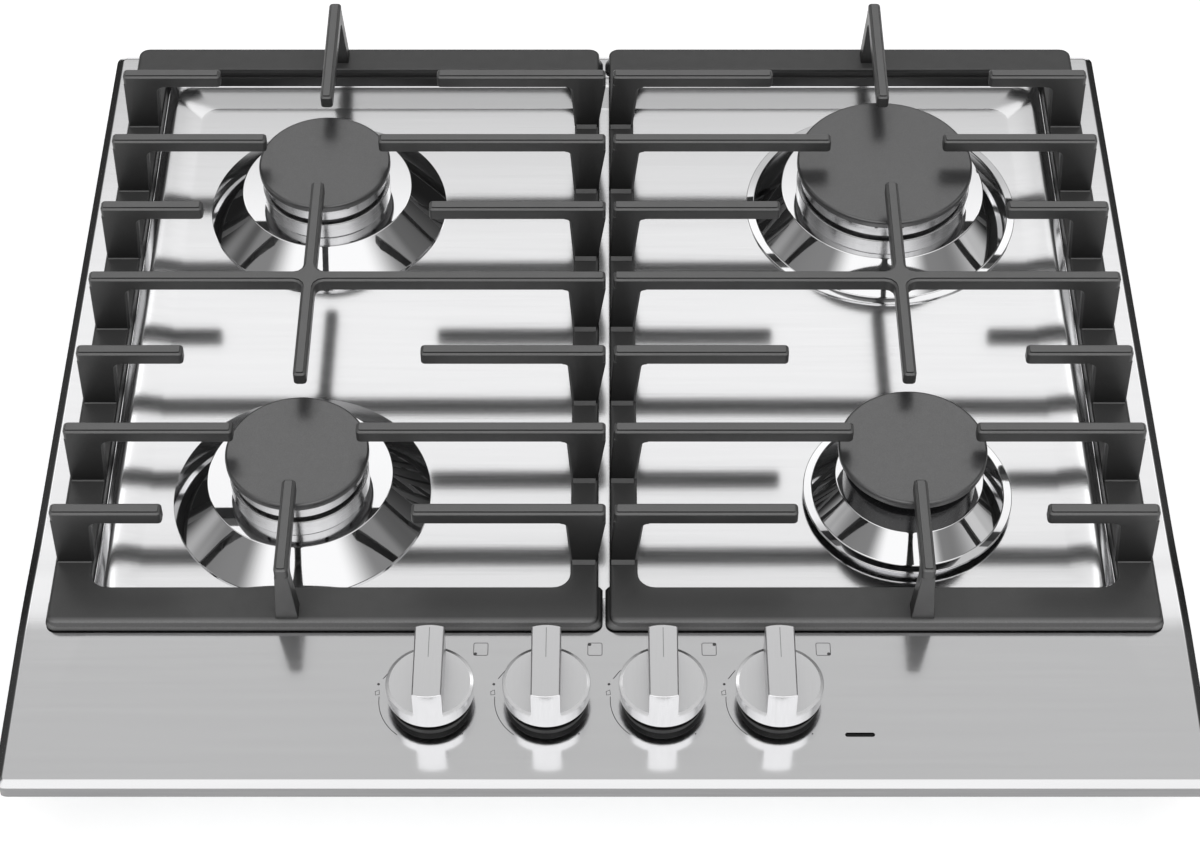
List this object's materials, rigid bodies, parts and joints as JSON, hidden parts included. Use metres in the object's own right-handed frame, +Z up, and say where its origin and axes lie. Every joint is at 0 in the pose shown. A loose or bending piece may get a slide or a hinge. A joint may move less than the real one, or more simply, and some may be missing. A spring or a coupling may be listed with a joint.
{
  "type": "gas cooktop",
  "caption": "Built-in gas hob: steel top with a spill well, round burners in polished dishes, cast pan supports and push-and-turn front controls.",
  "frame": {"origin": "middle of the underside of the casing, below the middle of the top plate", "axes": "+X to the user's right, +Y to the back, +Z up; the worktop is at z = 0.045 m"},
  "size_m": [0.582, 0.52, 0.1019],
  "materials": {
    "brushed_steel": "brushed along the width",
    "polished_steel": "mirror polish",
    "satin_metal": "satin",
    "cast_iron": "matt black enamel",
    "cap_enamel": "matt grey-black enamel",
    "cast_aluminium": "cast, lightly polished",
    "dark_casting": "dark enamel",
    "black_plastic": "fine matt",
    "galvanised": "zinc coat",
    "brass": "machined",
    "pipe_aluminium": "drawn",
    "seal_foam": "closed-cell foam",
    "ceramic": "glazed ceramic"
  },
  "bodies": {
    "hob": {"top_plate": "brushed_steel", "rim_seal": "seal_foam", "casing": "galvanised", "bracket_left": "galvanised", "bracket_right": "galvanised", "indicator_window": "black_plastic", "gas_rail": "pipe_aluminium", "gas_inlet": "brass", "ignition_module": "black_plastic", "cable_gland": "black_plastic", "burner_dish_front_left": "polished_steel", "burner_dish_rear_left": "polished_steel", "burner_dish_rear_right": "polished_steel", "burner_dish_front_right": "polished_steel", "burner_base_front_left": "cast_aluminium", "burner_base_rear_left": "cast_aluminium", "burner_base_rear_right": "cast_aluminium", "burner_base_front_right": "dark_casting", "spark_electrode_front_left": "ceramic", "spark_electrode_rear_left": "ceramic", "spark_electrode_rear_right": "ceramic", "spark_electrode_front_right": "ceramic", "gas_jet_front_left": "brass", "gas_jet_rear_left": "brass", "gas_jet_rear_right": "brass", "gas_jet_front_right": "brass", "knob_bezel_front_left": "black_plastic", "knob_bezel_rear_left": "black_plastic", "knob_bezel_rear_right": "black_plastic", "knob_bezel_front_right": "black_plastic", "valve_body_front_left": "cast_aluminium", "valve_body_rear_left": "cast_aluminium", "valve_body_rear_right": "cast_aluminium", "valve_body_front_right": "cast_aluminium", "gas_pipe_front_left": "pipe_aluminium", "gas_pipe_rear_left": "pipe_aluminium", "gas_pipe_rear_right": "pipe_aluminium", "gas_pipe_front_right": "pipe_aluminium"},
    "support_left": {"pan_support_left": "cast_iron"},
    "support_right": {"pan_support_right": "cast_iron"},
    "crown_front_left": {"burner_crown_front_left": "cast_aluminium"},
    "cap_front_left": {"burner_cap_front_left": "cap_enamel"},
    "crown_rear_left": {"burner_crown_rear_left": "cast_aluminium"},
    "cap_rear_left": {"burner_cap_rear_left": "cap_enamel"},
    "crown_rear_right": {"burner_crown_rear_right": "cast_aluminium"},
    "cap_rear_right": {"burner_cap_rear_right": "cap_enamel"},
    "crown_front_right": {"burner_crown_front_right": "dark_casting"},
    "cap_front_right": {"burner_cap_front_right": "cap_enamel"},
    "plug_front_left": {"valve_plug_front_left": "brass"},
    "knob_front_left": {"knob_front_left": "satin_metal", "valve_spindle_front_left": "galvanised"},
    "plug_rear_left": {"valve_plug_rear_left": "brass"},
    "knob_rear_left": {"knob_rear_left": "satin_metal", "valve_spindle_rear_left": "galvanised"},
    "plug_rear_right": {"valve_plug_rear_right": "brass"},
    "knob_rear_right": {"knob_rear_right": "satin_metal", "valve_spindle_rear_right": "galvanised"},
    "plug_front_right": {"valve_plug_front_right": "brass"},
    "knob_front_right": {"knob_front_right": "satin_metal", "valve_spindle_front_right": "galvanised"}
  },
  "joints": [
    {"name": "support_left_lift", "type": "slide", "parent": "hob", "child": "support_left", "axis": [0, 0, 1], "range_m": [0, 0.07]},
    {"name": "support_right_lift", "type": "slide", "parent": "hob", "child": "support_right", "axis": [0, 0, 1], "range_m": [0, 0.07]},
    {"name": "crown_front_left_lift", "type": "slide", "parent": "hob", "child": "crown_front_left", "axis": [0, 0, 1], "range_m": [0, 0.004]},
    {"name": "cap_front_left_lift", "type": "slide", "parent": "crown_front_left", "child": "cap_front_left", "axis": [0, 0, 1], "range_m": [0, 0.003]},
    {"name": "crown_rear_left_lift", "type": "slide", "parent": "hob", "child": "crown_rear_left", "axis": [0, 0, 1], "range_m": [0, 0.004]},
    {"name": "cap_rear_left_lift", "type": "slide", "parent": "crown_rear_left", "child": "cap_rear_left", "axis": [0, 0, 1], "range_m": [0, 0.003]},
    {"name": "crown_rear_right_lift", "type": "slide", "parent": "hob", "child": "crown_rear_right", "axis": [0, 0, 1], "range_m": [0, 0.004]},
    {"name": "cap_rear_right_lift", "type": "slide", "parent": "crown_rear_right", "child": "cap_rear_right", "axis": [0, 0, 1], "range_m": [0, 0.003]},
    {"name": "crown_front_right_lift", "type": "slide", "parent": "hob", "child": "crown_front_right", "axis": [0, 0, 1], "range_m": [0, 0.004]},
    {"name": "cap_front_right_lift", "type": "slide", "parent": "crown_front_right", "child": "cap_front_right", "axis": [0, 0, 1], "range_m": [0, 0.003]},
    {"name": "knob_front_left_turn", "type": "hinge", "parent": "hob", "child": "plug_front_left", "pos_m": [-0.0843, -0.211, 0.03], "axis": [0, 0, 1], "range_deg": [0, 225]},
    {"name": "knob_front_left_push", "type": "slide", "parent": "plug_front_left", "child": "knob_front_left", "axis": [0, 0, 1], "range_m": [-0.003, 0], "stiffness_N_per_m": 1200, "springref_m": 0.001},
    {"name": "knob_rear_left_turn", "type": "hinge", "parent": "hob", "child": "plug_rear_left", "pos_m": [-0.0281, -0.211, 0.03], "axis": [0, 0, 1], "range_deg": [0, 225]},
    {"name": "knob_rear_left_push", "type": "slide", "parent": "plug_rear_left", "child": "knob_rear_left", "axis": [0, 0, 1], "range_m": [-0.003, 0], "stiffness_N_per_m": 1200, "springref_m": 0.001},
    {"name": "knob_rear_right_turn", "type": "hinge", "parent": "hob", "child": "plug_rear_right", "pos_m": [0.0281, -0.211, 0.03], "axis": [0, 0, 1], "range_deg": [0, 225]},
    {"name": "knob_rear_right_push", "type": "slide", "parent": "plug_rear_right", "child": "knob_rear_right", "axis": [0, 0, 1], "range_m": [-0.003, 0], "stiffness_N_per_m": 1200, "springref_m": 0.001},
    {"name": "knob_front_right_turn", "type": "hinge", "parent": "hob", "child": "plug_front_right", "pos_m": [0.0843, -0.211, 0.03], "axis": [0, 0, 1], "range_deg": [0, 225]},
    {"name": "knob_front_right_push", "type": "slide", "parent": "plug_front_right", "child": "knob_front_right", "axis": [0, 0, 1], "range_m": [-0.003, 0], "stiffness_N_per_m": 1200, "springref_m": 0.001}
  ]
}
